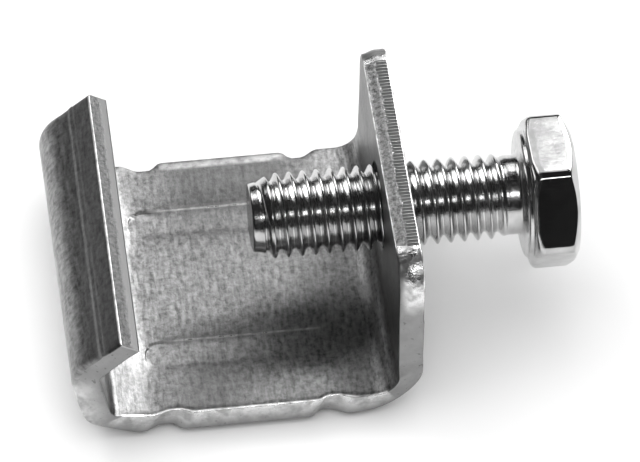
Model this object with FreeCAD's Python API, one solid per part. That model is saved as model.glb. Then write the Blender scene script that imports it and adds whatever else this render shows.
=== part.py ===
"""Small flange clamp: a stamped steel C bracket and one M8 hex bolt.

Units are millimetres and +Z is up. The bracket lies on its two pressed ribs,
whose crests are the plane Z = 0. The bolt runs along X and the sheet was bent
about Y, so Y = 0 is the plane of symmetry of the bracket.
X = 0 is halfway between the back of the hook and the end of the bolt head.
The thread is cut as rings of the M8 profile, one per pitch, not as a helix.
"""
import FreeCAD, Part
import math
import os

from FreeCAD import Vector

# Sheet-steel bracket. Positions along X are measured from the middle of its base.
SHEET = 2.4
WIDTH = 30.5
RIB_HEIGHT = 0.6
BASE_OUTER_Z = RIB_HEIGHT
BASE_INNER_Z = BASE_OUTER_Z + SHEET
BASE_CENTRE_X = -7.42

# Upright flange that carries the bolt.
FLANGE_INNER_X = BASE_CENTRE_X + 13.5
FLANGE_SHEET = 2.3
FLANGE_OUTER_X = FLANGE_INNER_X + FLANGE_SHEET
FLANGE_TOP_Z = 19.0
FLANGE_WIDTH = 29.0
FLANGE_CORNER_RADIUS = 3.0
FLANGE_TAPER_Z = (5.2, 7.4)
FLANGE_BEND_INNER_RADIUS = 2.2
FLANGE_BEND_OUTER_RADIUS = 5.2

# Hook: a jaw that leans outward and a lip folded back over the base.
JAW_OUTER_TOP = (BASE_CENTRE_X - 16.98, 8.69)
JAW_INNER_TOP = (BASE_CENTRE_X - 13.9, 8.83)
HOOK_HEEL_X = (BASE_CENTRE_X - 10.4, BASE_CENTRE_X - 14.95)
HOOK_HEEL_Z = 2.65
HOOK_HEEL_RADII = (4.0, 1.8)
HOOK_RISE_X = (BASE_CENTRE_X - 9.2, BASE_CENTRE_X - 12.6)
HOOK_RISE_Z = 3.45
HOOK_RISE_RADII = (3.0, 1.8)
LIP_ANGLE_DEG = 42.0
LIP_SHEET = 1.95
LIP_LENGTH = 7.11
LIP_CUT_DEG = 32.0
LIP_OUTER_RADIUS = 2.7
LIP_INNER_RADIUS = 0.8

# Notches beside the two bends; the straight tab of full width lies between them.
TAB_HALF_LENGTH = 5.75
NOTCH_DEPTH = 0.7
NOTCH_RAMP = 0.9
NOTCH_LENGTH = 3.3

# Two stiffening ribs, pressed outward from the inside of the base.
RIB_CENTRE_Y = 7.9
RIB_LENGTH = 17.6
RIB_FLOOR_WIDTH = 3.0
RIB_SLOPE_WIDTH = 1.2

# M8 bolt, thread to the head.
AXIS_Z = 11.6
THREAD_PITCH = 1.25
THREAD_RADIUS = 3.925
THREAD_DEPTH = 0.6134 * THREAD_PITCH
THREAD_ROOT_FLAT = THREAD_PITCH / 8
THREAD_RUN_OUT = 1.2
TIP_X = BASE_CENTRE_X + 1.65
TIP_RADIUS = 3.1
TIP_CHAMFER = 1.1
SHANK_LENGTH = 25.0
NECK_RADIUS = 3.66
NECK_LENGTH = 1.0
NECK_SLOPE_LENGTH = 0.4
WASHER_FACE_RADIUS = 5.9
WASHER_FACE_THICKNESS = 0.5
HEX_ACROSS_FLATS = 13.0
HEAD_HEIGHT = 4.75
HEX_CHAMFER_DEG = 30.0
HEX_CHAMFER_START = 0.91
HOLE_CLEARANCE = 0.05

HEAD_UNDERSIDE_X = TIP_X + SHANK_LENGTH
HEAD_END_X = HEAD_UNDERSIDE_X + HEAD_HEIGHT


def rounded_path(corners):
    """Edges through (x, z, radius) corners in the XZ plane, with rounded corners."""
    edges = []
    start = Vector(corners[0][0], 0, corners[0][1])
    for before, corner, after in zip(corners, corners[1:], corners[2:]):
        point = Vector(corner[0], 0, corner[1])
        back = (Vector(before[0], 0, before[1]) - point).normalize()
        ahead = (Vector(after[0], 0, after[1]) - point).normalize()
        half_angle = back.getAngle(ahead) / 2
        reach = corner[2] / math.tan(half_angle)
        middle = (back + ahead).normalize()
        centre = point + middle * (corner[2] / math.sin(half_angle))
        arc_start = point + back * reach
        arc_end = point + ahead * reach
        edges.append(Part.makeLine(start, arc_start))
        edges.append(Part.Arc(arc_start, centre - middle * corner[2], arc_end).toShape())
        start = arc_end
    edges.append(Part.makeLine(start, Vector(corners[-1][0], 0, corners[-1][1])))
    return edges


def hook_corners():
    """Outer and inner corners of the hook, from the base to the lip's edge."""
    tip_outer = (
        JAW_OUTER_TOP[0] + LIP_LENGTH * math.cos(math.radians(LIP_ANGLE_DEG)),
        JAW_OUTER_TOP[1] + LIP_LENGTH * math.sin(math.radians(LIP_ANGLE_DEG)),
    )
    cut_length = LIP_SHEET / math.sin(math.radians(LIP_ANGLE_DEG + LIP_CUT_DEG))
    tip_inner = (
        tip_outer[0] + cut_length * math.cos(math.radians(LIP_CUT_DEG)),
        tip_outer[1] - cut_length * math.sin(math.radians(LIP_CUT_DEG)),
    )
    outer = [
        (HOOK_HEEL_X[0], BASE_OUTER_Z, HOOK_HEEL_RADII[0]),
        (HOOK_HEEL_X[1], HOOK_HEEL_Z, HOOK_HEEL_RADII[1]),
        (*JAW_OUTER_TOP, LIP_OUTER_RADIUS),
        tip_outer,
    ]
    inner = [
        tip_inner,
        (*JAW_INNER_TOP, LIP_INNER_RADIUS),
        (HOOK_RISE_X[1], HOOK_RISE_Z, HOOK_RISE_RADII[1]),
        (HOOK_RISE_X[0], BASE_INNER_Z, HOOK_RISE_RADII[0]),
    ]
    return outer, inner


def bent_sheet():
    """The side profile of the bent sheet, pulled out to the full width."""
    hook_outer, hook_inner = hook_corners()
    outer = [
        (FLANGE_OUTER_X, FLANGE_TOP_Z),
        (FLANGE_OUTER_X, BASE_OUTER_Z, FLANGE_BEND_OUTER_RADIUS),
    ] + hook_outer
    inner = hook_inner + [
        (FLANGE_INNER_X, BASE_INNER_Z, FLANGE_BEND_INNER_RADIUS),
        (FLANGE_INNER_X, FLANGE_TOP_Z),
    ]
    edges = rounded_path(outer)
    edges.append(Part.makeLine(Vector(outer[-1][0], 0, outer[-1][1]), Vector(inner[0][0], 0, inner[0][1])))
    edges += rounded_path(inner)
    edges.append(Part.makeLine(Vector(inner[-1][0], 0, inner[-1][1]), Vector(outer[0][0], 0, outer[0][1])))
    face = Part.Face(Part.Wire(edges))
    face.translate(Vector(0, -WIDTH / 2, 0))
    return face.extrude(Vector(0, WIDTH, 0))


def notch_cutter(side, end):
    """A shallow notch in one long edge; side is +1 or -1 in Y, end in X."""
    start_x = BASE_CENTRE_X + end * TAB_HALF_LENGTH
    edge_y = side * WIDTH / 2
    floor_y = side * (WIDTH / 2 - NOTCH_DEPTH)
    outside_y = side * (WIDTH / 2 + 1)
    outline = [
        (start_x, outside_y),
        (start_x, edge_y),
        (start_x + end * NOTCH_RAMP, floor_y),
        (start_x + end * (NOTCH_LENGTH - NOTCH_RAMP), floor_y),
        (start_x + end * NOTCH_LENGTH, edge_y),
        (start_x + end * NOTCH_LENGTH, outside_y),
    ]
    points = [Vector(x, y, -1) for x, y in outline]
    face = Part.Face(Part.makePolygon(points + points[:1]))
    return face.extrude(Vector(0, 0, BASE_INNER_Z + 2))


def flange_outline():
    """Everything the flange may fill: narrower than the base, with round top corners."""
    half_base = WIDTH / 2 + 1
    half = FLANGE_WIDTH / 2
    low, high = FLANGE_TAPER_Z
    radius = FLANGE_CORNER_RADIUS
    slant = radius * math.sin(math.radians(45))

    def point(y, z):
        return Vector(FLANGE_OUTER_X + 1, y, z)

    def corner(side):
        start = point(side * half, FLANGE_TOP_Z - radius)
        middle = point(side * (half - radius + slant), FLANGE_TOP_Z - radius + slant)
        end = point(side * (half - radius), FLANGE_TOP_Z)
        return start, Part.Arc(start, middle, end).toShape(), end

    left_start, left_arc, left_end = corner(-1)
    right_start, right_arc, right_end = corner(1)
    edges = [
        Part.makeLine(point(-half_base, -1), point(-half_base, low)),
        Part.makeLine(point(-half_base, low), point(-WIDTH / 2, low)),
        Part.makeLine(point(-WIDTH / 2, low), point(-half, high)),
        Part.makeLine(point(-half, high), left_start),
        left_arc,
        Part.makeLine(left_end, right_end),
        right_arc,
        Part.makeLine(right_start, point(half, high)),
        Part.makeLine(point(half, high), point(WIDTH / 2, low)),
        Part.makeLine(point(WIDTH / 2, low), point(half_base, low)),
        Part.makeLine(point(half_base, low), point(half_base, -1)),
        Part.makeLine(point(half_base, -1), point(-half_base, -1)),
    ]
    face = Part.Face(Part.Wire(Part.__sortEdges__(edges)))
    flange_zone = face.extrude(Vector(-(FLANGE_SHEET + 6), 0, 0))
    hook_zone = Part.makeBox(
        40, WIDTH + 2, FLANGE_TOP_Z + 2,
        Vector(FLANGE_INNER_X - 5 - 40, -WIDTH / 2 - 1, -1))
    return flange_zone.fuse(hook_zone)


def obround(length, width, centre_y, z):
    """A slot-shaped wire, long in X."""
    radius = width / 2
    reach = length / 2 - radius
    near_y = centre_y - radius
    far_y = centre_y + radius
    left = BASE_CENTRE_X - reach
    right = BASE_CENTRE_X + reach
    edges = [
        Part.makeLine(Vector(left, near_y, z), Vector(right, near_y, z)),
        Part.Arc(Vector(right, near_y, z), Vector(right + radius, centre_y, z), Vector(right, far_y, z)).toShape(),
        Part.makeLine(Vector(right, far_y, z), Vector(left, far_y, z)),
        Part.Arc(Vector(left, far_y, z), Vector(left - radius, centre_y, z), Vector(left, near_y, z)).toShape(),
    ]
    return Part.Wire(edges)


def tapered_obround(centre_y, floor_z, mouth_z):
    """A slot-shaped block whose sides spread by the rib's slope from floor to mouth."""
    spread = 2 * RIB_SLOPE_WIDTH * abs(mouth_z - floor_z) / RIB_HEIGHT
    floor = obround(RIB_LENGTH, RIB_FLOOR_WIDTH, centre_y, floor_z)
    mouth = obround(RIB_LENGTH + spread, RIB_FLOOR_WIDTH + spread, centre_y, mouth_z)
    return Part.makeLoft([floor, mouth], True, True)


def make_bracket():
    """One piece of bent sheet: base with two ribs, bored flange and hook."""
    shape = bent_sheet().common(flange_outline())
    for side in (-1, 1):
        for end in (-1, 1):
            shape = shape.cut(notch_cutter(side, end))
    for side in (-1, 1):
        centre_y = side * RIB_CENTRE_Y
        shape = shape.fuse(tapered_obround(centre_y, 0, BASE_OUTER_Z + 0.1))
        shape = shape.cut(tapered_obround(centre_y, BASE_INNER_Z - RIB_HEIGHT, BASE_INNER_Z + 0.1))
    hole = Part.makeCylinder(
        THREAD_RADIUS + HOLE_CLEARANCE, FLANGE_SHEET + 2,
        Vector(FLANGE_INNER_X - 1, 0, AXIS_Z), Vector(1, 0, 0))
    return shape.cut(hole).removeSplitter()


def turned(profile):
    """A solid of revolution about the bolt's axis from (x, radius) points."""
    points = [Vector(x, 0, AXIS_Z + radius) for x, radius in profile]
    face = Part.Face(Part.makePolygon(points + points[:1]))
    return face.revolve(Vector(0, 0, AXIS_Z), Vector(1, 0, 0), 360)


def thread_rings(start_x, end_x):
    """Profile points of the V grooves that fit between two places on the shank."""
    flank = THREAD_DEPTH * math.tan(math.radians(30))
    groove = 2 * flank + THREAD_ROOT_FLAT
    root_radius = THREAD_RADIUS - THREAD_DEPTH
    points = []
    x = start_x
    while x + groove <= end_x:
        points.append((x, THREAD_RADIUS))
        points.append((x + flank, root_radius))
        points.append((x + flank + THREAD_ROOT_FLAT, root_radius))
        points.append((x + groove, THREAD_RADIUS))
        x += THREAD_PITCH
    return points


def make_bolt():
    """M8 bolt with a thread along the whole shank and a hex head with a washer face."""
    neck_x = HEAD_UNDERSIDE_X - NECK_LENGTH
    tip = [(TIP_X, 0), (TIP_X, TIP_RADIUS), (TIP_X + TIP_CHAMFER, THREAD_RADIUS)]
    neck = [
        (neck_x - NECK_SLOPE_LENGTH, THREAD_RADIUS),
        (neck_x, NECK_RADIUS),
        (HEAD_UNDERSIDE_X, NECK_RADIUS),
        (HEAD_UNDERSIDE_X, 0),
    ]
    rings = thread_rings(TIP_X + TIP_CHAMFER + 0.1, neck_x - THREAD_RUN_OUT)
    shank = turned(tip + rings + neck)
    hex_start_x = HEAD_UNDERSIDE_X + WASHER_FACE_THICKNESS
    corner_radius = HEX_ACROSS_FLATS / math.sqrt(3)
    corners = [
        Vector(
            hex_start_x,
            corner_radius * math.cos(math.radians(60 * k)),
            AXIS_Z + corner_radius * math.sin(math.radians(60 * k)))
        for k in range(6)
    ]
    hexagon = Part.Face(Part.makePolygon(corners + corners[:1]))
    prism = hexagon.extrude(Vector(HEAD_END_X - hex_start_x, 0, 0))
    chamfer_radius = HEX_ACROSS_FLATS / 2 * HEX_CHAMFER_START
    beyond_corner = corner_radius + 0.2
    chamfer_drop = (beyond_corner - chamfer_radius) * math.tan(math.radians(HEX_CHAMFER_DEG))
    chamfer = turned([
        (hex_start_x - 1, 0),
        (hex_start_x - 1, beyond_corner),
        (HEAD_END_X - chamfer_drop, beyond_corner),
        (HEAD_END_X, chamfer_radius),
        (HEAD_END_X, 0),
    ])
    head = prism.common(chamfer)
    washer_face = Part.makeCylinder(
        WASHER_FACE_RADIUS, WASHER_FACE_THICKNESS,
        Vector(HEAD_UNDERSIDE_X, 0, AXIS_Z), Vector(1, 0, 0))
    return shank.fuse(washer_face).fuse(head)


PARTS = {
    "clamp_bracket": make_bracket,
    "hex_bolt": make_bolt,
}

os.makedirs("parts", exist_ok=True)
for node, build in PARTS.items():
    shape = build()
    shape.exportStep("parts/" + node + ".step")
    box = shape.BoundBox
    print(node, "valid:", shape.isValid(), "solids:", len(shape.Solids), "volume:", round(shape.Volume, 2))
    print("  low corner", round(box.XMin, 3), round(box.YMin, 3), round(box.ZMin, 3))
    print("  high corner", round(box.XMax, 3), round(box.YMax, 3), round(box.ZMax, 3))
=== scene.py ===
"""Looks of the flange clamp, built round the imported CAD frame.

The bracket is one blanked and bent sheet of zinc-plated steel. The bolt is one
bright M8 hex bolt with a real helical thread. Lengths are in millimetres until
a mesh is made, and positions are those of the CAD model.
"""

import math

import bmesh
import bpy
import numpy as np
from mathutils import Matrix, Vector


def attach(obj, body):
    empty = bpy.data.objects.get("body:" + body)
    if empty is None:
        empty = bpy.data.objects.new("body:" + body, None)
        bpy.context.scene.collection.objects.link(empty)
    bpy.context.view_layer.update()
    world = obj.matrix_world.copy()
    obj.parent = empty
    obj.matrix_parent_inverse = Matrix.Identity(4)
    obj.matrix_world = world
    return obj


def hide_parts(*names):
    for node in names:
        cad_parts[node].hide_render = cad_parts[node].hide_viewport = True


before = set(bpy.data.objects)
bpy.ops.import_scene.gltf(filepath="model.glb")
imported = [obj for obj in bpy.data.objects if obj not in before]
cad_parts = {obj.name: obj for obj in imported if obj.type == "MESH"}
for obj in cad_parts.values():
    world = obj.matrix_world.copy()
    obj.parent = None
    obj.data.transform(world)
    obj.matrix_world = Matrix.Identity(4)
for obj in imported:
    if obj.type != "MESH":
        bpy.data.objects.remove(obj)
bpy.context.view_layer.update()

MM = 0.001

# Bracket: the CAD part's driving dimensions, except that RISE_RADII, the first
# of LIP_RADII and FLANGE_CORNER_RADIUS follow the real bends and corners more closely.
SHEET = 2.4
HALF_WIDTH = 15.25
RIB_HEIGHT = 0.6
BASE_OUTER_Z = RIB_HEIGHT
BASE_INNER_Z = BASE_OUTER_Z + SHEET
BASE_CENTRE_X = -7.42
FLANGE_INNER_X = BASE_CENTRE_X + 13.5
FLANGE_SHEET = 2.3
FLANGE_OUTER_X = FLANGE_INNER_X + FLANGE_SHEET
FLANGE_TOP_Z = 19.0
FLANGE_HALF_WIDTH = 14.5
FLANGE_CORNER_RADIUS = 3.2
FLANGE_TAPER_Z = (5.2, 7.4)
FLANGE_BEND_RADII = (5.2, 2.2)
JAW_OUTER_TOP = (BASE_CENTRE_X - 16.98, 8.69)
JAW_INNER_TOP = (BASE_CENTRE_X - 13.9, 8.83)
HEEL_X = (BASE_CENTRE_X - 10.4, BASE_CENTRE_X - 14.95)
HEEL_Z = 2.65
HEEL_RADII = (4.0, 1.8)
RISE_X = (BASE_CENTRE_X - 9.2, BASE_CENTRE_X - 12.6)
RISE_Z = 3.45
RISE_RADII = (10.0, 0.9)
LIP_ANGLE_DEG = 42.0
LIP_SHEET = 1.95
LIP_LENGTH = 7.11
LIP_CUT_DEG = 32.0
LIP_RADII = (4.2, 0.8)
RIB_CENTRE_Y = 7.9
RIB_HALF_LENGTH = 8.8
RIB_FLOOR_RADIUS = 1.5
HOLE_RADIUS = 3.975
HOLE_CHAMFER = 0.3

# Bracket: small shapes, finer than the CAD part's or not in it at all. Places
# along the sheet are measured from the middle of the base, and grow towards the
# flange. Where a shape fades in between two places, it is nothing at the first
# and whole at the second.
BASE_END = 13.0
FLANGE_START = 12.0
RIB_REACH = RIB_HALF_LENGTH - RIB_FLOOR_RADIUS
RIB_SINK = 0.24
RIB_STEP = 0.15
# Half the width of the ribs' coined step, where it is soft and where it is crisp.
RIB_STEP_SLOPES = (0.75, 0.08)
# The ribs' slopes fade in by the distance outside the ribs' flat floor.
RIB_INNER_SLOPE = (2.6, -0.3)
RIB_OUTER_SLOPE = (1.3, -0.1)
FRONT_TRIM = 0.14
# Each notch: where it starts, where it is deep from and to, and where it ends.
NOTCHES = ((5.7, 6.75, 7.6, 9.3), (-5.7, -6.9, -7.8, -9.7))
NOTCH_DEPTH_FRONT = 0.74
NOTCH_SLANT_FRONT = 0.3
NOTCH_DEPTH_BACK = 0.85
# Each bend's outer face is pulled in at the long edges: depth, place and spread.
PULLED_BENDS = ((0.6, 14.0, 2.8), (0.1, -10.4, 1.4), (0.2, -15.6, 1.8))
# The lip's bend is pulled in further at the front edge: depth, then the places
# where that starts, is deepest and ends.
LIP_BEND_PULL = 0.85
LIP_BEND_PULLED = (-24.9, -19.9, -15.4)
FLANGE_NARROWING = 0.4
FLANGE_NARROWS_Z = (8.0, 13.0)
FLANGE_TOP_SLOPE = 0.32
# The hook is skewed from one side to the other: depth, then the distance from
# the lip's edge and the spread.
HOOK_SKEW = 0.22
HOOK_SKEW_PLACE = (6.2, 2.9)
ROLL_WIDTH = 0.82
# The front edge's roll on the inner face stops at this share of its depth.
BURR_SHARE = 0.35
# Rounded rims: width and height. The flange's long edges have theirs above a height.
SIDE_RIM = (0.16, 0.06)
FLANGE_RIM_FROM_Z = 12.0
FLANGE_RIM = (0.45, 0.16)
LIP_RIM = (0.3, 0.12)
INNER_END_RIM = (0.12, 0.08)
# Each mark of the bending tool: distance from the lip's edge, reach and step.
TOOL_MARKS = ((2.1, 0.12, 0.02), (2.75, 0.26, 0.07))
TOOL_MARKS_FADE = (5.2, 3.2)
STRIATION_PITCH = 0.38
# Lattice lines: distances from a long edge, and depths through the sheet.
EDGE_STEPS = np.array([0.0, 0.025, 0.08, 0.17, 0.29, 0.44, 0.62, 0.82])
THROUGH = np.array([0, 0.05, 0.14, 0.28, 0.42, 0.56, 0.7, 0.84, 0.94, 1.0])
HOLE_FADE = 0.6

# Bolt.
AXIS_Z = 11.6
PITCH = 1.25
THREAD_RADIUS = 3.925
THREAD_DEPTH = 0.6134 * PITCH
TIP_X = BASE_CENTRE_X + 1.65
SHANK_LENGTH = 25.0
NECK_RADIUS = 3.66
WASHER_RADIUS = 5.9
WASHER_THICKNESS = 0.5
HEX_HALF_FLATS = 6.5
HEAD_HEIGHT = 4.75
HEX_CHAMFER_START = 0.91
HEX_CHAMFER_DEG = 30.0
HEAD_X = TIP_X + SHANK_LENGTH
HEAD_END_X = HEAD_X + HEAD_HEIGHT
CREST_HALF_WIDTH = 0.085
THREAD_ROUNDING = 0.06
# The thread fades out between these two distances under the head.
THREAD_RUN_OUT = (1.1, 3.0)
THREAD_START = 0.02
THREAD_END = SHANK_LENGTH - 0.7
HEX_CORNER_CUT = 0.16
HEX_CORNER_ROUNDING = 0.05
HEX_CORNER_REACH_DEG = 16
HEX_ARC_BREAK = 0.03
UNDER_HEX_RADIUS = 6.06
# The head's lower edge: its radius, and how much more radius and height it has at a corner.
LOWER_EDGE_RADIUS = 0.32
LOWER_CORNER_EXTRA = 0.4
LOWER_CORNER_LIFT = 0.06
# The end face: radius and depth behind the tip, ring by ring.
TIP_DISH = 0.06
TIP_PROFILE = ((1.2, 0.05), (2.2, 0.03), (2.75, 0.0), (2.9, 0.0), (2.97, 0.008))
# The most that the thread's radius may be: distances from the tip, and radii.
TIP_ENVELOPE = ((0, 0.12, 0.95, 2.1), (3.0, 3.12, 3.28, 3.95))
# From the neck to the hexagon: distance from the head's seat, and radius.
NECK_PROFILE = (
    (-0.6, NECK_RADIUS), (-0.42, 3.69), (-0.27, 3.76), (-0.14, 3.88), (-0.05, 4.06),
    (0, 4.3), (0, 4.5), (0, 5.1), (0, 5.5), (0.03, 5.72), (0.1, 5.85),
    (0.2, WASHER_RADIUS), (0.36, 5.92), (0.44, 5.96), (WASHER_THICKNESS, UNDER_HEX_RADIUS),
)

# Camera: the angle and distance of the reference view.
CAMERA_AZIMUTH_DEG = -7.6
CAMERA_ELEVATION_DEG = 49.4
CAMERA_ROLL_DEG = 0.64
CAMERA_DISTANCE = 500.0
CAMERA_TARGET = (BASE_CENTRE_X + 8.73, 4.36, 3.75)
CAMERA_LENS = 301.6
CAMERA_SENSOR = 36.0

# Studio, in metres.
FLOOR_REACH = 3.0
FLOOR_GAP = 0.00005
FLOOR_GREY = 0.85
SURROUND_STRENGTH = 0.02
LIGHT_AIM = (0, 0, 0.01)


# ---------------------------------------------------------------- helpers

def smooth_step(low, high, value):
    """0 below low, 1 above high and an S-curve between them. low may be above high."""
    t = np.clip((value - low) / (high - low), 0.0, 1.0)
    return t * t * (3 - 2 * t)


def bump_at(value, centre, spread):
    """A bell of height 1 round a place."""
    return np.exp(-((value - centre) / spread) ** 2)


def unit(vector):
    return vector / np.linalg.norm(vector)


def make_object(name, points, faces, place=None, looks=None, highlights_and_rubbing=None):
    """A mesh object in metres from millimetre points, with clean normals."""
    mesh = bpy.data.meshes.new(name)
    mesh.from_pydata([tuple(MM * c for c in p) for p in points], [], faces)
    mesh.update()
    if place is not None:
        layer = mesh.attributes.new("sheet_place", "FLOAT_VECTOR", "POINT")
        layer.data.foreach_set("vector", np.asarray(place, dtype=np.float32).ravel())
    # The mask of painted highlights and painted reflections, with some real rubbing, kept on the
    # points.
    if highlights_and_rubbing is not None:
        layer = mesh.attributes.new("highlights_and_rubbing", "FLOAT", "POINT")
        layer.data.foreach_set("value", np.asarray(highlights_and_rubbing, dtype=np.float32).ravel())
    if looks is not None:
        mesh.polygons.foreach_set("material_index", looks)
    work = bmesh.new()
    work.from_mesh(mesh)
    bmesh.ops.remove_doubles(work, verts=work.verts, dist=2e-7)
    loose = [v for v in work.verts if not v.link_faces]
    bmesh.ops.delete(work, geom=loose, context="VERTS")
    bmesh.ops.recalc_face_normals(work, faces=work.faces)
    work.to_mesh(mesh)
    work.free()
    mesh.shade_smooth()
    thing = bpy.data.objects.new(name, mesh)
    bpy.context.scene.collection.objects.link(thing)
    return thing


# ---------------------------------------------------------------- bracket

def corner_arc(before, corner, after, radius, count):
    """Points round one corner of a path, evenly spaced by angle."""
    corner = np.array(corner)
    back = unit(np.array(before) - corner)
    ahead = unit(np.array(after) - corner)
    half_angle = math.acos(float(back @ ahead)) / 2
    centre = corner + unit(back + ahead) * (radius / math.sin(half_angle))
    start = corner + back * (radius / math.tan(half_angle)) - centre
    turn = math.pi - 2 * half_angle
    if back[0] * ahead[1] - back[1] * ahead[0] > 0:
        turn = -turn
    angles = np.linspace(0, turn, count + 1)
    c, s = np.cos(angles), np.sin(angles)
    return centre + np.stack([c * start[0] - s * start[1], s * start[0] + c * start[1]], axis=1)


def sheet_line(corners, radii, arc_counts, run_fractions):
    """One face of the sheet in the XZ plane: runs joined by round corners."""
    arcs = [
        corner_arc(corners[k], corners[k + 1], corners[k + 2], radii[k], arc_counts[k])
        for k in range(len(radii))
    ]
    starts = [np.array(corners[0])] + [arc[-1] for arc in arcs]
    ends = [arc[0] for arc in arcs] + [np.array(corners[-1])]
    points = []
    for k, fractions in enumerate(run_fractions):
        run = starts[k] + np.outer(fractions, ends[k] - starts[k])
        points.append(run)
        if k < len(arcs):
            points.append(arcs[k][1:-1])
    return np.concatenate(points)


def hook_corners():
    """Outer and inner corners of the hook from the base to the lip's edge."""
    tip_outer = (
        JAW_OUTER_TOP[0] + LIP_LENGTH * math.cos(math.radians(LIP_ANGLE_DEG)),
        JAW_OUTER_TOP[1] + LIP_LENGTH * math.sin(math.radians(LIP_ANGLE_DEG)),
    )
    cut = LIP_SHEET / math.sin(math.radians(LIP_ANGLE_DEG + LIP_CUT_DEG))
    tip_inner = (
        tip_outer[0] + cut * math.cos(math.radians(LIP_CUT_DEG)),
        tip_outer[1] - cut * math.sin(math.radians(LIP_CUT_DEG)),
    )
    outer = [(HEEL_X[0], BASE_OUTER_Z), (HEEL_X[1], HEEL_Z), JAW_OUTER_TOP, tip_outer]
    inner = [(RISE_X[0], BASE_INNER_Z), (RISE_X[1], RISE_Z), JAW_INNER_TOP, tip_inner]
    return outer, inner


def even(count):
    """Fractions of a run from start to end, both included."""
    return np.linspace(0, 1, count + 1)


def flange_fractions():
    """Places down the flange: fine at the free edge, with lines at the hole's box."""
    length = FLANGE_TOP_Z - BASE_OUTER_Z - FLANGE_BEND_RADII[0]
    angles = np.radians(np.arange(90, 9, -5))
    corner = FLANGE_CORNER_RADIUS * (1 - np.sin(angles))
    box_top = FLANGE_TOP_Z - AXIS_Z - HOLE_RADIUS
    box_bottom = box_top + 2 * HOLE_RADIUS
    down = np.concatenate([
        corner,
        np.linspace(corner[-1], box_top, 4)[1:],
        np.linspace(box_top, box_bottom, 27)[1:],
        np.linspace(box_bottom, length, 8)[1:],
    ])
    return down / length


def base_fractions():
    """Places along the base from the flange's bend to the hook: fine at the ribs' left ends."""
    start = FLANGE_INNER_X - FLANGE_BEND_RADII[1] - BASE_CENTRE_X
    fine_from = -(RIB_REACH - 0.7)
    rise = math.atan2(RISE_Z - BASE_INNER_Z, RISE_X[0] - RISE_X[1])
    end = RISE_X[0] - BASE_CENTRE_X + RISE_RADII[0] * math.tan(rise / 2)
    places = np.concatenate([
        np.linspace(start, fine_from, 46),
        np.linspace(fine_from, end, 8)[1:],
    ])
    return (start - places) / (start - end)


def lip_fractions():
    """Places along the lip, fine at its cut edge and at the two tool marks."""
    jaw_angle = math.atan2(JAW_OUTER_TOP[1] - HEEL_Z, HEEL_X[1] - JAW_OUTER_TOP[0])
    turn = math.pi - jaw_angle - math.radians(LIP_ANGLE_DEG)
    flat = LIP_LENGTH - LIP_RADII[0] * math.tan(turn / 2)
    back = np.concatenate([
        EDGE_STEPS,
        np.linspace(1.1, 1.8, 4),
        np.arange(1.88, 3.15, 0.06),
        np.linspace(3.3, flat, 4),
    ])
    return 1 - back[::-1] / flat


def tool_marks(lip_gap):
    """Two faint steps that the bending tool left along the lip's outer face."""
    height = 0
    for place, reach, step in TOOL_MARKS:
        height = height + step * smooth_step(place - reach, place + reach, lip_gap)
    return height * smooth_step(*TOOL_MARKS_FADE, lip_gap)


def across_places():
    """Y of the lengthwise lines: fine at both edges, with lines at the hole's box."""
    middle = np.linspace(-HOLE_RADIUS, HOLE_RADIUS, 33)
    near, far = RIB_CENTRE_Y - RIB_FLOOR_RADIUS, RIB_CENTRE_Y + RIB_FLOOR_RADIUS
    fine = 0.18
    side = np.concatenate([
        np.linspace(HOLE_RADIUS, near - fine, 10)[1:-1],
        np.linspace(near - fine, near + fine, 7),
        np.linspace(near + fine, far - fine, 22)[1:-1],
        np.linspace(far - fine, far + fine, 7),
        np.linspace(far + fine, HALF_WIDTH - EDGE_STEPS[-1], 15)[1:-1],
    ])
    edge = HALF_WIDTH - EDGE_STEPS[::-1]
    right = np.concatenate([side, edge])
    return np.concatenate([-right[::-1], middle, right])


def sheet_profile():
    """Outer and inner face of the bent sheet, point by point, and the length along it."""
    hook_outer, hook_inner = hook_corners()
    outer_corners = [(FLANGE_OUTER_X, FLANGE_TOP_Z), (FLANGE_OUTER_X, BASE_OUTER_Z)] + hook_outer
    inner_corners = [(FLANGE_INNER_X, FLANGE_TOP_Z), (FLANGE_INNER_X, BASE_INNER_Z)] + hook_inner
    counts = (26, 44, 12, 14)
    runs = [flange_fractions(), base_fractions(), even(10), even(20), lip_fractions()]
    outer = sheet_line(
        outer_corners, (FLANGE_BEND_RADII[0], *HEEL_RADII, LIP_RADII[0]), counts, runs)
    inner = sheet_line(
        inner_corners, (FLANGE_BEND_RADII[1], *RISE_RADII, LIP_RADII[1]), counts, runs)
    middle = (outer + inner) / 2
    length = np.concatenate([[0], np.cumsum(np.linalg.norm(np.diff(middle, axis=0), axis=1))])
    off_centre = np.where(middle[:, 1] < BASE_INNER_Z, np.abs(middle[:, 0] - BASE_CENTRE_X), np.inf)
    return outer, inner, length[np.argmin(off_centre)] - length


def notch_depth(along, side, inside):
    """How far the notches cut into one long edge. inside is 0 at the outer face, 1 at the inner."""
    if side < 0:
        depth = NOTCH_DEPTH_FRONT - NOTCH_SLANT_FRONT * inside
    else:
        depth = NOTCH_DEPTH_BACK
    cut = 0
    for start, deep_from, deep_to, end in NOTCHES:
        cut = cut + smooth_step(start, deep_from, along) * smooth_step(end, deep_to, along)
    return depth * cut


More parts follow.
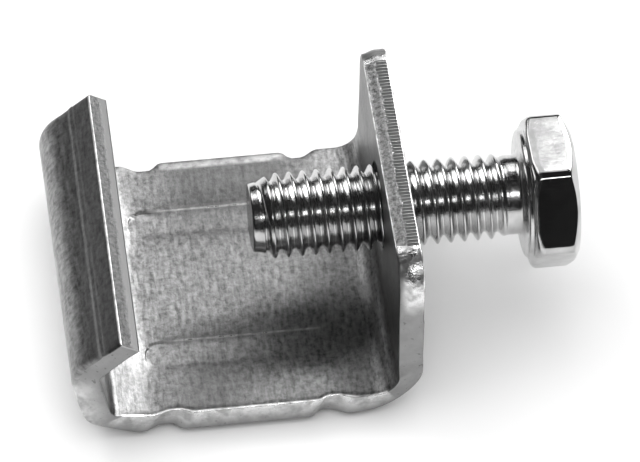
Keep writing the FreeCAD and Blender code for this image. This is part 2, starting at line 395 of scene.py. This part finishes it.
def half_width(along, side, inside, height):
    """Distance from the middle plane to one long edge at a place on the sheet."""
    on_flange = along > 0
    full = HALF_WIDTH if side > 0 else HALF_WIDTH - FRONT_TRIM
    half = full - (full - FLANGE_HALF_WIDTH) * (smooth_step(*FLANGE_TAPER_Z, height) * on_flange)
    half = half - notch_depth(along, side, inside)
    narrowing = FLANGE_NARROWING * smooth_step(0.4, 1.0, inside)
    half = half - narrowing * smooth_step(*FLANGE_NARROWS_Z, height) * on_flange
    for depth, place, spread in PULLED_BENDS:
        half = half - depth * (1 - inside) * bump_at(along, place, spread)
    if side < 0:
        start, deepest, end = LIP_BEND_PULLED
        pulled = smooth_step(start, deepest, along) * smooth_step(end, deepest, along)
        half = half - LIP_BEND_PULL * (1 - inside) * pulled
    corner = np.clip(height - (FLANGE_TOP_Z - FLANGE_CORNER_RADIUS), 0, FLANGE_CORNER_RADIUS)
    inset = FLANGE_CORNER_RADIUS - np.sqrt(np.maximum(FLANGE_CORNER_RADIUS ** 2 - corner ** 2, 0))
    return half - inset * on_flange


def rib_depth(x, y, inside):
    """Depth of the two pressed ribs: a small coined step in a soft slope.

    The step is crisp at the back of each rib's end near the hook, and soft elsewhere.
    """
    beyond = np.maximum(np.abs(x - BASE_CENTRE_X) - RIB_REACH, 0)
    hook_end = smooth_step(RIB_REACH - 1.6, RIB_REACH + 0.2, BASE_CENTRE_X - x)
    soft_slope, crisp_slope = RIB_STEP_SLOPES
    depth = 0
    for side in (-1, 1):
        away = y - side * RIB_CENTRE_Y
        gap = np.hypot(beyond, away) - RIB_FLOOR_RADIUS
        crisp = hook_end * smooth_step(-1.4, 0.0, away)
        slope = soft_slope + (crisp_slope - soft_slope) * crisp
        inner = RIB_SINK * smooth_step(*RIB_INNER_SLOPE, gap)
        inner = inner + RIB_STEP * smooth_step(slope, -slope, gap)
        outer = RIB_HEIGHT * smooth_step(*RIB_OUTER_SLOPE, gap)
        depth = depth + inside * inner + (1 - inside) * outer
    return depth


def painted_highlights_and_rubbing(x, y, s, w, side_gap, top_gap, lip_gap):
    """Painted highlights and painted reflections, with some real rubbing: 0 for none, 1 for full.

    s is the place along the sheet, and w the depth in it, 0 at the outer face
    and 1 at the inner. The gaps are distances from the long edge, the flange's
    free edge and the lip's edge.
    """
    from_centre = np.abs(x - BASE_CENTRE_X)
    rib_creases = 0
    for side in (-1, 1):
        rib_edge = side * RIB_CENTRE_Y + RIB_FLOOR_RADIUS
        rib_creases = rib_creases + bump_at(y, rib_edge + 0.03, 0.11)
    rib_creases = rib_creases * smooth_step(RIB_REACH + 0.5, RIB_REACH - 0.8, from_centre) * w
    front_burr = smooth_step(0.3, 0.14, side_gap) * (y < 0) * (np.abs(s) < BASE_END) * w
    back_band = smooth_step(1.2, 0.8, side_gap) * (y > 0) * smooth_step(6.0, 5.4, np.abs(s)) * w
    flange_rim = smooth_step(0.3, 0.05, top_gap)
    flange_smear_and_sheen = smooth_step(6.5, 3.5, top_gap) * smooth_step(1.4, 0.2, side_gap) * (y < 0)
    flange_smear_and_sheen = flange_smear_and_sheen * smooth_step(0.95, 0.7, w)
    lip_rim = smooth_step(0.2, 0.02, lip_gap)
    lip_bend = smooth_step(5.5, 8.0, lip_gap) * smooth_step(14.0, 10.0, lip_gap) * (1 - w)
    rise = smooth_step(-8.8, -10.2, s) * smooth_step(-13.4, -12.6, s) * w
    # Painted highlights: the rib creases, front burr, flange rim, lip rim and rise. Painted
    # reflections: the back band and lip bend. The flange's corner smear is partly real rubbing,
    # partly painted sheen.
    full = rib_creases + front_burr + flange_rim + flange_smear_and_sheen
    return np.clip(full + 0.45 * back_band + 0.6 * lip_rim + 0.75 * lip_bend + 0.06 * rise, 0, 1)


def edge_drop(distance, width, height):
    """Fall of a rounded edge: nothing beyond width, all of height at the edge itself."""
    t = np.clip(distance / width, 0, 1)
    return height * (1 - np.sqrt(1 - (1 - t) ** 2))


def rim_drops(y, s, level, side_gap, top_gap, lip_gap):
    """How far the rims of the outer and of the inner face fall towards the sheet's middle."""
    rolled = edge_drop(side_gap, ROLL_WIDTH, 1.0)
    hook = smooth_step(-17.0, -20.0, s)
    outer = edge_drop(side_gap, *SIDE_RIM) * (1 - hook)
    hook_roll = rolled * np.where(y < 0, 0.7, 0.4)
    outer = outer + hook_roll * hook * smooth_step(1.0, 6.0, lip_gap)
    flange_gap = np.minimum(np.where(level < FLANGE_RIM_FROM_Z, side_gap + 3, side_gap), top_gap)
    outer = np.maximum(outer, edge_drop(flange_gap, *FLANGE_RIM))
    outer = np.maximum(outer, edge_drop(lip_gap, *LIP_RIM))

    inner = np.where(y < 0, 0.24 * np.minimum(rolled, BURR_SHARE), 0.12 * rolled)
    inner = inner * smooth_step(0.0, 1.5, lip_gap)
    inner = np.maximum(inner, edge_drop(np.minimum(top_gap, lip_gap), *INNER_END_RIM))
    return outer, inner


def round_hole(y, s, level, plain_z):
    """Moves the lines near the bolt's hole so that they run round it: new y, and a shift in z.

    level is the height of each line on the outer face, and plain_z its height
    at each depth of the sheet.
    """
    rise = np.where(s > 0, level - AXIS_Z, 99.0)
    reach = (1 + HOLE_FADE) * HOLE_RADIUS
    near = (np.abs(y) < reach) & (np.abs(rise) < reach)
    a = y / HOLE_RADIUS
    b = rise / HOLE_RADIUS
    ring = np.maximum(np.maximum(np.abs(a), np.abs(b)), 1e-9)
    fade = np.clip((ring - 1) / HOLE_FADE, 0, 1)
    on_circle = ring / np.maximum(np.hypot(a, b), 1e-9)
    scale = on_circle + (1 - on_circle) * fade
    same_height = (level - plain_z) * (1 - fade)
    shift = np.where(near, rise * scale - rise + same_height, 0.0)
    return np.where(near, y * scale, y), shift


def flare_hole(points, rim):
    """Opens the two ends of the hole into small chamfers."""
    for k, depth in enumerate(THROUGH):
        flare = HOLE_CHAMFER * (max(0, 1 - depth / 0.14) + max(0, (depth - 0.86) / 0.14))
        for i, j in rim:
            px, py, pz = points[i, j, k]
            away = np.array([py, pz - AXIS_Z])
            away = away * (1 + flare / np.linalg.norm(away))
            points[i, j, k] = (px, away[0], AXIS_Z + away[1])


def lattice_faces(shape, hole, rim):
    """Faces round a lattice with one hole through it, and the material of each face.

    The materials are 0 on the two wide faces, 1 on the long edges and in the
    hole, 2 on the flange's end and 3 on the lip's end.
    """
    ni, nj, nk = shape
    i0, i1, j0, j1 = hole
    faces = []
    looks = []

    def add(look, *corners):
        faces.append(tuple((i * nj + j) * nk + k for i, j, k in corners))
        looks.append(look)

    for k in (0, nk - 1):
        for i in range(ni - 1):
            for j in range(nj - 1):
                if i0 <= i < i1 and j0 <= j < j1:
                    continue
                add(0, (i, j, k), (i + 1, j, k), (i + 1, j + 1, k), (i, j + 1, k))
    for k in range(nk - 1):
        for j in (0, nj - 1):
            for i in range(ni - 1):
                add(1, (i, j, k), (i + 1, j, k), (i + 1, j, k + 1), (i, j, k + 1))
        for i, look in ((0, 2), (ni - 1, 3)):
            for j in range(nj - 1):
                add(look, (i, j, k), (i, j + 1, k), (i, j + 1, k + 1), (i, j, k + 1))
        for (a, b), (c, d) in zip(rim, rim[1:] + rim[:1]):
            add(1, (a, b, k), (c, d, k), (c, d, k + 1), (a, b, k + 1))
    return faces, looks


def hole_lines(outer, along, across):
    """First and last lattice line of the hole's box each way, and its rim point by point."""
    limit = HOLE_RADIUS + 1e-6
    lengthwise = [
        i for i in range(len(along))
        if along[i] > FLANGE_START and abs(outer[i, 1] - AXIS_Z) < limit
    ]
    crosswise = [j for j in range(len(across)) if abs(across[j]) < limit]
    i0, i1, j0, j1 = lengthwise[0], lengthwise[-1], crosswise[0], crosswise[-1]
    rim = [(i0, j) for j in range(j0, j1)] + [(i, j1) for i in range(i0, i1)]
    rim += [(i1, j) for j in range(j1, j0, -1)] + [(i, j0) for i in range(i1, i0, -1)]
    return (i0, i1, j0, j1), rim


def make_bracket():
    """The bracket as one closed mesh: a lattice along, across and through the sheet."""
    outer, inner, along = sheet_profile()
    across = across_places()
    shape = (len(along), len(across), len(THROUGH))
    thickness = np.linalg.norm(inner - outer, axis=1)
    inward = (inner - outer) / thickness[:, None]

    def lengthwise(values):
        return values[:, None, None] * np.ones(shape)

    s = lengthwise(along)
    w = THROUGH[None, None, :] * np.ones(shape)
    level = lengthwise(outer[:, 1])
    plain_x = lengthwise(outer[:, 0]) + lengthwise((inner - outer)[:, 0]) * w
    plain_z = level + lengthwise((inner - outer)[:, 1]) * w

    # The lines round the hole keep their places. Those further out close up with the edge.
    front = (np.sign(across) < 0)[None, :, None]
    half = np.where(front, half_width(s, -1, w, level), half_width(s, 1, w, level))
    follow = smooth_step(
        (1 + HOLE_FADE) * HOLE_RADIUS, HALF_WIDTH - EDGE_STEPS[-1], np.abs(across))[None, :, None]
    y = across[None, :, None] * (1 + (half / HALF_WIDTH - 1) * follow)
    side_gap = half - np.abs(y)
    top_gap = s[0, 0, 0] - s
    lip_gap = s - s[-1, 0, 0]

    # Depth of each point below the outer face.
    outer_drop, inner_drop = rim_drops(y, s, level, side_gap, top_gap, lip_gap)
    deep = outer_drop + (thickness[:, None, None] - outer_drop - inner_drop) * w
    deep = deep - rib_depth(plain_x, y, w) * (np.abs(s) < BASE_END)
    deep = deep + tool_marks(lip_gap) * (1 - w)
    deep = deep - HOOK_SKEW * y / HALF_WIDTH * bump_at(lip_gap, *HOOK_SKEW_PLACE)

    # The flange's free edge slopes down towards its inner face.
    y, shift_z = round_hole(y, s, level, plain_z)
    slope = FLANGE_TOP_SLOPE * smooth_step(0.45, 1.0, w) * (1 - np.clip(top_gap / 0.6, 0, 1))
    x = lengthwise(outer[:, 0]) + lengthwise(inward[:, 0]) * deep
    z = level + lengthwise(inward[:, 1]) * deep + shift_z
    z = z - slope * (s > FLANGE_START)

    points = np.stack([x, y, z], axis=-1)
    place = np.stack([s, y, w], axis=-1)
    # Painted highlights and painted reflections laid into the colour, with some real rubbing.
    highlights_and_rubbing = painted_highlights_and_rubbing(x, y, s, w, side_gap, top_gap, lip_gap)
    hole, rim = hole_lines(outer, along, across)
    flare_hole(points, rim)
    faces, looks = lattice_faces(shape, hole, rim)

    # Points inside the sheet and inside the hole belong to no face.
    used = sorted({v for face in faces for v in face})
    renumber = {old: new for new, old in enumerate(used)}
    return make_object(
        "bracket_sheet",
        points.reshape(-1, 3)[used],
        [tuple(renumber[v] for v in face) for face in faces],
        place.reshape(-1, 3)[used],
        looks,
        highlights_and_rubbing.reshape(-1)[used])


# ---------------------------------------------------------------- bolt

def turn_angles():
    """Angles round the bolt: six equal parts, finer beside each hex corner."""
    inside = np.array([0, 0.5, 1.1, 1.9, 3.0, 4.6, 6.8, 9.4, 12.2, 15.2, 18.4, 21.6, 25.0, 28.0])
    part = np.concatenate([inside, [30.0], 60 - inside[:0:-1]])
    return np.radians(np.concatenate([60 * k + part for k in range(6)]))


def soft_limit(depth):
    """Limits a flank's depth to the crest and the root, with rounded corners."""
    depth = np.log1p(np.exp(np.clip(depth / THREAD_ROUNDING, -40, 40))) * THREAD_ROUNDING
    left = (THREAD_DEPTH - depth) / THREAD_ROUNDING
    return THREAD_DEPTH - np.log1p(np.exp(np.clip(left, -40, 40))) * THREAD_ROUNDING


def thread_radius(x, angle):
    """Radius of the threaded shank at a place, with its run-in and run-out."""
    phase = (x - TIP_X - PITCH * angle / (2 * math.pi)) / PITCH
    off_crest = np.abs(phase - np.round(phase)) * PITCH
    depth = soft_limit(math.sqrt(3) * (off_crest - CREST_HALF_WIDTH))
    gone, whole = THREAD_RUN_OUT
    fade = smooth_step(gone, whole, HEAD_X - x)
    radius = NECK_RADIUS + (THREAD_RADIUS - depth - NECK_RADIUS) * fade
    return np.minimum(radius, np.interp(x - TIP_X, *TIP_ENVELOPE))


def thread_stations():
    """Places along the shank that keep to the crests, flanks and roots, and how many make a turn."""
    half = np.array([0, 0.07, 0.12, 0.2, 0.33, 0.44, 0.52, 0.575])
    one = np.concatenate([half, [PITCH / 2], PITCH - half[:0:-1]])
    turns = int(SHANK_LENGTH / PITCH) + 3
    return np.concatenate([one + PITCH * k for k in range(turns)]), len(one)


class TurnedMesh:
    """Rings of points round the bolt's axis, each joined to the one before it."""

    def __init__(self, angles):
        self.angles = angles
        self.count = len(angles)
        self.points = []
        self.faces = []
        self.last = None

    def ring(self, xs, radii):
        """A new ring that isn't joined to anything yet."""
        first = len(self.points)
        ones = np.ones(self.count)
        for angle, x, r in zip(self.angles, xs * ones, radii * ones):
            self.points.append((x, r * math.cos(angle), AXIS_Z + r * math.sin(angle)))
        return first

    def join(self, ring_a, ring_b):
        for i in range(self.count):
            nxt = (i + 1) % self.count
            self.faces.append((ring_a + i, ring_a + nxt, ring_b + nxt, ring_b + i))
        self.last = ring_b

    def extend(self, xs, radii):
        """A new ring, joined to the last one."""
        self.join(self.last, self.ring(xs, radii))

    def start_cap(self, x, ring_x, radius):
        """A centre point and the first ring round it."""
        self.points.append((x, 0, AXIS_Z))
        self.last = self.ring(ring_x, radius)
        for i in range(self.count):
            self.faces.append((0, self.last + i, self.last + (i + 1) % self.count))

    def end_cap(self, x):
        """A centre point inside the last ring."""
        centre = len(self.points)
        self.points.append((x, 0, AXIS_Z))
        for i in range(self.count):
            self.faces.append((centre, self.last + (i + 1) % self.count, self.last + i))


def add_tip(mesh):
    """The bolt's slightly dished end face."""
    (radius, inset), *others = TIP_PROFILE
    mesh.start_cap(TIP_X + TIP_DISH, TIP_X + inset, radius)
    for radius, inset in others:
        mesh.extend(TIP_X + inset, radius)


def add_thread(mesh):
    """The helical thread: each row follows the helix and is held between the shank's two ends."""
    n = mesh.count
    stations, per_turn = thread_stations()
    rows = []
    for station in stations:
        xs = TIP_X - PITCH + PITCH * mesh.angles / (2 * math.pi) + station
        xs = np.clip(xs, TIP_X + THREAD_START, TIP_X + THREAD_END)
        rows.append(mesh.ring(xs, thread_radius(xs, mesh.angles)))
    mesh.join(mesh.last, rows[0])
    for j, (row, following) in enumerate(zip(rows, rows[1:])):
        for i in range(n - 1):
            mesh.faces.append((row + i, row + i + 1, following + i + 1, following + i))
        # The end of a row meets the start of the row one turn further on.
        k = j + per_turn
        if k + 1 < len(rows):
            mesh.faces.append((row + n - 1, rows[k], rows[k + 1], following + n - 1))
    mesh.last = rows[-1]


def hex_outline(angles):
    """Radius of the hexagon with slightly rounded corners, and 1 at a corner fading to 0."""
    off_corner = np.abs((angles + math.pi / 6) % (math.pi / 3) - math.pi / 6)
    hexagon = HEX_HALF_FLATS / np.cos(math.pi / 6 - off_corner)
    corner_cap = HEX_HALF_FLATS / math.cos(math.pi / 6) - HEX_CORNER_CUT
    past_cap = (hexagon - corner_cap) / HEX_CORNER_ROUNDING
    hexagon = hexagon - np.log1p(np.exp(past_cap)) * HEX_CORNER_ROUNDING
    return hexagon, smooth_step(math.radians(HEX_CORNER_REACH_DEG), 0, off_corner)


def add_hex_underside(mesh, hexagon, at_corner):
    """The head's underside from the washer face to the rounded lower edge. Says where it ends."""
    under_x = HEAD_X + WASHER_THICKNESS
    lift = LOWER_CORNER_LIFT * at_corner
    round_radius = LOWER_EDGE_RADIUS + LOWER_CORNER_EXTRA * at_corner
    flat_end = hexagon - round_radius
    for t in (0.35, 0.7, 1.0):
        mesh.extend(under_x + lift * t, UNDER_HEX_RADIUS + (flat_end - UNDER_HEX_RADIUS) * t)
    for bend in np.radians((18, 36, 54, 72, 90)):
        mesh.extend(
            under_x + lift + round_radius * (1 - math.cos(bend)),
            flat_end + round_radius * math.sin(bend))
    return under_x + lift + round_radius


def add_hex_sides(mesh, hexagon, side_start):
    """The six flats, the chamfer that cuts each of them in an arc, and the plain end face."""
    cone_radius = HEX_HALF_FLATS * HEX_CHAMFER_START
    cone = math.tan(math.radians(HEX_CHAMFER_DEG))
    arc_x = HEAD_END_X - (hexagon - cone_radius) * cone
    for t in (0.15, 0.4, 0.65, 0.88, 0.97):
        mesh.extend(side_start + (arc_x - side_start) * t, hexagon)
    mesh.extend(arc_x + HEX_ARC_BREAK * cone, hexagon - HEX_ARC_BREAK)
    for t in (0.2, 0.5, 0.8, 0.95):
        mesh.extend(arc_x + (HEAD_END_X - arc_x) * t, hexagon + (cone_radius - hexagon) * t)
    for radius in (cone_radius - 0.15, 4.6, 3.0, 1.4):
        mesh.extend(HEAD_END_X, radius)
    mesh.end_cap(HEAD_END_X)


def make_bolt():
    """The bolt as one closed mesh: tip, helical thread, neck, washer face and hex."""
    mesh = TurnedMesh(turn_angles())
    add_tip(mesh)
    add_thread(mesh)
    for offset, radius in NECK_PROFILE:
        mesh.extend(HEAD_X + offset, radius)
    hexagon, at_corner = hex_outline(mesh.angles)
    side_start = add_hex_underside(mesh, hexagon, at_corner)
    thread_faces = len(mesh.faces)
    add_hex_sides(mesh, hexagon, side_start)
    looks = [0] * thread_faces + [1] * (len(mesh.faces) - thread_faces)
    return make_object("bolt_body", mesh.points, mesh.faces, looks=looks)


# ---------------------------------------------------------------- materials

class Nodes:
    """Small helper that builds a node material."""

    def __init__(self, name):
        self.material = bpy.data.materials.new(name)
        self.material.use_nodes = True
        self.tree = self.material.node_tree
        self.tree.nodes.clear()
        self.shader = self.add("ShaderNodeBsdfPrincipled")
        output = self.add("ShaderNodeOutputMaterial")
        self.link(self.shader.outputs[0], output.inputs[0])

    def add(self, kind, **settings):
        node = self.tree.nodes.new(kind)
        for key, value in settings.items():
            setattr(node, key, value)
        return node

    def link(self, a, b):
        self.tree.links.new(a, b)

    def scaled(self, source, scale):
        """The coordinates stretched along each axis."""
        node = self.add("ShaderNodeMapping")
        node.inputs["Scale"].default_value = scale
        self.link(source, node.inputs["Vector"])
        return node.outputs[0]

    def object_place(self):
        """The object's own coordinates in millimetres."""
        return self.scaled(self.add("ShaderNodeTexCoord").outputs["Object"], (1000, 1000, 1000))

    def sheet_place(self):
        """Coordinates on the sheet: along it and across it in millimetres, and 0 to 1 through it."""
        return self.add("ShaderNodeAttribute", attribute_name="sheet_place").outputs["Vector"]

    def split(self, source):
        """The three parts of a vector."""
        node = self.add("ShaderNodeSeparateXYZ")
        self.link(source, node.inputs[0])
        return node.outputs

    def noise(self, source, scale, detail=3.0, rough=0.55, distort=0.0):
        node = self.add("ShaderNodeTexNoise")
        node.inputs["Scale"].default_value = scale
        node.inputs["Detail"].default_value = detail
        node.inputs["Roughness"].default_value = rough
        node.inputs["Distortion"].default_value = distort
        self.link(source, node.inputs["Vector"])
        return node.outputs["Fac"]

    def remap(self, source, low, high, to_low, to_high):
        """to_low at low, to_high at high, straight between them and level beyond."""
        node = self.add("ShaderNodeMapRange")
        values = (low, high, to_low, to_high)
        for key, value in zip(("From Min", "From Max", "To Min", "To Max"), values):
            node.inputs[key].default_value = value
        self.link(source, node.inputs["Value"])
        return node.outputs[0]

    def math(self, operation, a, b):
        node = self.add("ShaderNodeMath", operation=operation)
        for socket, value in zip(node.inputs, (a, b)):
            if isinstance(value, (int, float)):
                socket.default_value = value
            else:
                self.link(value, socket)
        return node.outputs[0]

    def plus(self, a, b):
        return self.math("ADD", a, b)

    def minus(self, a, b):
        return self.math("SUBTRACT", a, b)

    def times(self, a, b):
        return self.math("MULTIPLY", a, b)

    def grey(self, source, dark, light):
        """A colour between two greys."""
        node = self.add("ShaderNodeMix", data_type="RGBA")
        node.inputs["A"].default_value = (dark, dark, dark, 1)
        node.inputs["B"].default_value = (light, light, light, 1)
        self.link(source, node.inputs["Factor"])
        return node.outputs["Result"]

    def blend(self, source, base, bright):
        """A colour socket that goes over to one plain grey where source is 1."""
        node = self.add("ShaderNodeMix", data_type="RGBA")
        self.link(base, node.inputs["A"])
        node.inputs["B"].default_value = (bright, bright, bright, 1)
        self.link(source, node.inputs["Factor"])
        return node.outputs["Result"]

    def bump(self, height, distance_mm):
        node = self.add("ShaderNodeBump")
        node.inputs["Distance"].default_value = distance_mm * MM
        node.inputs["Strength"].default_value = 1.0
        self.link(height, node.inputs["Height"])
        return node.outputs[0]

    def set(self, socket, value):
        if isinstance(value, (int, float, tuple)):
            self.shader.inputs[socket].default_value = value
        else:
            self.link(value, self.shader.inputs[socket])


def highlight_and_rub_places(m, place):
    """The painted highlights and painted reflections, with some real rubbing, broken up by a little
    noise.
    """
    highlit_and_rubbed = m.add("ShaderNodeAttribute", attribute_name="highlights_and_rubbing").outputs["Fac"]
    return m.times(highlit_and_rubbed, m.remap(m.noise(place, 0.9, 3.0), 0.35, 0.6, 0.3, 1.0))


def base_painted_shade(m, along, across):
    """Painted shade on the middle of the base: most at its back edge, a little at its front."""
    near_back = m.remap(across, 4.0, 11.0, 0.38, 0.76)
    near_front = m.remap(across, -7.5, -12.0, 0.0, 0.3)
    from_hook = m.remap(along, -9.5, -3.5, 0, 1)
    to_flange = m.remap(along, 5.0, 11.0, 1, 0)
    hook_half = m.remap(along, -5.0, 2.0, 1, 0)
    hook_or_back = m.math("MAXIMUM", m.remap(across, -6.5, -1.5, 0, 1), hook_half)
    back_part = m.times(near_back, m.times(from_hook, m.times(to_flange, hook_or_back)))
    front_part = m.times(near_front, m.remap(along, -3.0, 3.0, 1, 0))
    return m.plus(back_part, front_part)


def zinc_sheet():
    """Satin zinc plating: mottling, fine streaks across the strip, painted shade on parts of the
    base, lip and flange, and painted highlights.
    """
    m = Nodes("zinc_sheet")
    place = m.sheet_place()
    along, across, _ = m.split(place)
    streak = m.noise(m.scaled(place, (2.4, 0.5, 1.0)), 1.0, 4.0, 0.6)
    grain = m.noise(place, 1.9, 6.0, 0.66, 0.3)
    patch = m.noise(place, 0.25, 3.0, 0.55, 0.8)
    mottling = m.plus(m.times(streak, 0.45), m.times(grain, 0.55))

    # Painted shade: the colour is darkened on the lip, towards the flange's free edge and over parts
    # of the base.
    on_lip = m.remap(along, -21.0, -22.5, 1.0, 0.42)
    on_flange = m.remap(along, 16.0, 20.0, 1.0, 0.45)
    painted_light_level = m.minus(1.0, base_painted_shade(m, along, across))
    painted_light_level = m.times(m.times(painted_light_level, on_lip), on_flange)
    plain = m.grey(m.times(m.remap(mottling, 0.38, 0.62, 0.1, 1), painted_light_level), 0.09, 0.45)
    highlit_and_rubbed = highlight_and_rub_places(m, place)
    # Painted highlights and painted reflections: the colour goes over to near white where marked.
    m.set("Base Color", m.blend(highlit_and_rubbed, plain, 0.9))
    m.set("Metallic", 1.0)
    fine_rough = m.remap(mottling, 0.35, 0.65, 0.38, 0.48)
    rough = m.plus(fine_rough, m.remap(patch, 0.3, 0.7, -0.05, 0.05))
    m.set("Roughness", m.minus(rough, m.times(highlit_and_rubbed, 0.16)))
    m.set("Normal", m.bump(mottling, 0.035))
    return m.material


def sheared_side():
    """The long blanked edges: smooth satin with a few dark specks, and painted highlights with a
    bumpy smear where marked.
    """
    m = Nodes("sheared_side")
    place = m.object_place()
    soft = m.noise(place, 0.8, 3.0, 0.5)
    speck = m.remap(m.noise(place, 2.2, 2.0, 0.5), 0.28, 0.36, 0.45, 1.0)
    tone = m.times(m.remap(soft, 0.3, 0.7, 0.75, 1.0), speck)
    highlit_and_rubbed = highlight_and_rub_places(m, place)
    # Painted highlights: the colour goes over to a light grey where marked.
    m.set("Base Color", m.blend(highlit_and_rubbed, m.grey(tone, 0.05, 0.31), 0.8))
    m.set("Metallic", 1.0)
    rough = m.remap(soft, 0.3, 0.7, 0.38, 0.46)
    m.set("Roughness", m.minus(rough, m.times(highlit_and_rubbed, 0.2)))
    smear = m.times(m.noise(place, 1.6, 4.0, 0.7, 0.6), highlit_and_rubbed)
    m.set("Normal", m.bump(m.plus(soft, m.times(smear, 3.0)), 0.03))
    return m.material


def broken_edge(name, burnished_at, torn_at, striation, light):
    """An end cut: part burnished with fine lines across it, part torn and rough.

    burnished_at and torn_at are depths in the sheet, 0 at its outer face and 1
    at its inner face. striation is the height of the lines, 0 for none.
    """
    m = Nodes(name)
    _, across, through = m.split(m.sheet_place())
    place = m.object_place()
    waver = m.remap(m.noise(place, 0.9, 2.0), 0.3, 0.7, -0.08, 0.08)
    torn = m.remap(m.plus(through, waver), burnished_at, torn_at, 0, 1)
    grain = m.noise(place, 2.6, 5.0, 0.7)
    ripple = m.math("SINE", m.times(across, 2 * math.pi / STRIATION_PITCH), 0.0)
    lines = m.times(m.times(ripple, striation), m.minus(1.0, torn))
    speckle = m.times(m.minus(grain, 0.58), m.times(torn, 2.6))
    tone = m.plus(m.plus(speckle, m.times(lines, 0.9)), 0.72)
    m.set("Base Color", m.grey(tone, 0.05, light))
    m.set("Metallic", 1.0)
    m.set("Roughness", m.remap(torn, 0, 1, 0.3, 0.45))
    m.set("Normal", m.bump(m.plus(m.times(m.minus(grain, 0.5), torn), lines), 0.09))
    return m.material


def bright_steel(name, greys, roughness, bump_height):
    """Bright plated steel with cloudy patches and fine scratches."""
    m = Nodes(name)
    place = m.object_place()
    fine = m.noise(place, 3.0, 5.0, 0.65)
    patch = m.noise(place, 0.5, 3.0, 0.55)
    scratch = m.noise(m.scaled(place, (0.6, 5.0, 5.0)), 1.0, 3.0, 0.6)
    grain = m.plus(m.times(fine, 0.6), m.times(scratch, 0.4))
    m.set("Base Color", m.grey(m.remap(patch, 0.35, 0.65, 0, 1), *greys))
    m.set("Metallic", 1.0)
    m.set("Roughness", m.remap(grain, 0.38, 0.62, *roughness))
    m.set("Normal", m.bump(grain, bump_height))
    return m.material


def plain_floor():
    """A pale matt surface."""
    m = Nodes("plain_floor")
    m.set("Base Color", (FLOOR_GREY, FLOOR_GREY, FLOOR_GREY, 1))
    m.set("Roughness", 0.9)
    return m.material


# ---------------------------------------------------------------- studio

def area_light(name, place, size, power, glossy=True, diffuse=True):
    """A soft rectangular light that faces the part."""
    data = bpy.data.lights.new(name, "AREA")
    data.shape = "RECTANGLE"
    data.size, data.size_y = size
    data.energy = power
    lamp = bpy.data.objects.new(name, data)
    lamp.location = place
    lamp.rotation_euler = (Vector(LIGHT_AIM) - Vector(place)).to_track_quat("-Z", "Y").to_euler()
    lamp.visible_glossy = glossy
    lamp.visible_diffuse = diffuse
    bpy.context.scene.collection.objects.link(lamp)
    return lamp


def on_sphere(angle_deg, side_deg, distance):
    """A place round the object: angle in the YZ plane from +Y, and a lean towards +X."""
    a, b = math.radians(angle_deg), math.radians(side_deg)
    return (
        distance * math.sin(b),
        distance * math.cos(a) * math.cos(b),
        distance * math.sin(a) * math.cos(b),
    )


def make_studio():
    """Floor, soft lights and a dim surround."""
    mesh = bpy.data.meshes.new("floor")
    corners = [(-FLOOR_REACH, -FLOOR_REACH, 0), (FLOOR_REACH, -FLOOR_REACH, 0),
               (FLOOR_REACH, FLOOR_REACH, 0), (-FLOOR_REACH, FLOOR_REACH, 0)]
    mesh.from_pydata(corners, [], [(0, 1, 2, 3)])
    floor = bpy.data.objects.new("floor", mesh)
    floor.location.z = -FLOOR_GAP
    floor.data.materials.append(plain_floor())
    bpy.context.scene.collection.objects.link(floor)

    world = bpy.data.worlds.new("studio")
    world.use_nodes = True
    background = world.node_tree.nodes["Background"]
    background.inputs["Color"].default_value = (1, 1, 1, 1)
    background.inputs["Strength"].default_value = SURROUND_STRENGTH
    bpy.context.scene.world = world

    # The first four are for the metal's reflections. The last one lights the floor.
    area_light("back_softbox", on_sphere(47, 3, 0.6), (0.18, 0.34), 0.24)
    area_light("side_softbox", on_sphere(46, 29.5, 0.6), (0.32, 0.34), 3.6, diffuse=False)
    area_light("left_softbox", on_sphere(50, -24, 0.6), (0.25, 0.34), 0.65)
    area_light("front_strip", on_sphere(130, 5, 0.7), (0.5, 0.06), 0.9)
    area_light("fill_top", (-0.1, 0.1, 1.3), (3.0, 3.0), 50.0, glossy=False)


def make_camera():
    """The camera at the reference view's angle."""
    azimuth = math.radians(CAMERA_AZIMUTH_DEG)
    elevation = math.radians(CAMERA_ELEVATION_DEG)
    roll = math.radians(CAMERA_ROLL_DEG)
    back = Vector((
        math.sin(azimuth) * math.cos(elevation),
        -math.cos(azimuth) * math.cos(elevation),
        math.sin(elevation),
    ))
    level_right = Vector((math.cos(azimuth), math.sin(azimuth), 0))
    level_up = back.cross(level_right)
    right = math.cos(roll) * level_right + math.sin(roll) * level_up
    up = math.cos(roll) * level_up - math.sin(roll) * level_right
    turn = Matrix((right, up, back)).transposed().to_4x4()
    place = (Vector(CAMERA_TARGET) + CAMERA_DISTANCE * back) * MM
    data = bpy.data.cameras.new("camera")
    data.lens = CAMERA_LENS
    data.sensor_fit = "HORIZONTAL"
    data.sensor_width = CAMERA_SENSOR
    data.clip_start = 0.01
    data.clip_end = 10
    camera = bpy.data.objects.new("camera", data)
    camera.matrix_world = Matrix.Translation(place) @ turn
    bpy.context.scene.collection.objects.link(camera)
    bpy.context.scene.camera = camera


# ---------------------------------------------------------------- build

make_camera()
make_studio()

bracket = make_bracket()
bracket.data.materials.append(zinc_sheet())
bracket.data.materials.append(sheared_side())
bracket.data.materials.append(broken_edge("flange_edge", 0.44, 0.54, striation=0.34, light=0.5))
bracket.data.materials.append(broken_edge("lip_edge", 0.68, 0.5, striation=0.0, light=0.2))
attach(bracket, "bracket")
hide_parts("clamp_bracket")

bolt = make_bolt()
bolt.data.materials.append(bright_steel("bright_thread", (0.48, 0.64), (0.13, 0.27), 0.015))
bolt.data.materials.append(bright_steel("bright_head", (0.42, 0.57), (0.06, 0.12), 0.003))
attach(bolt, "bolt")
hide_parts("hex_bolt")

scene = bpy.context.scene
scene.view_settings.view_transform = "Standard"
scene.view_settings.look = "None"
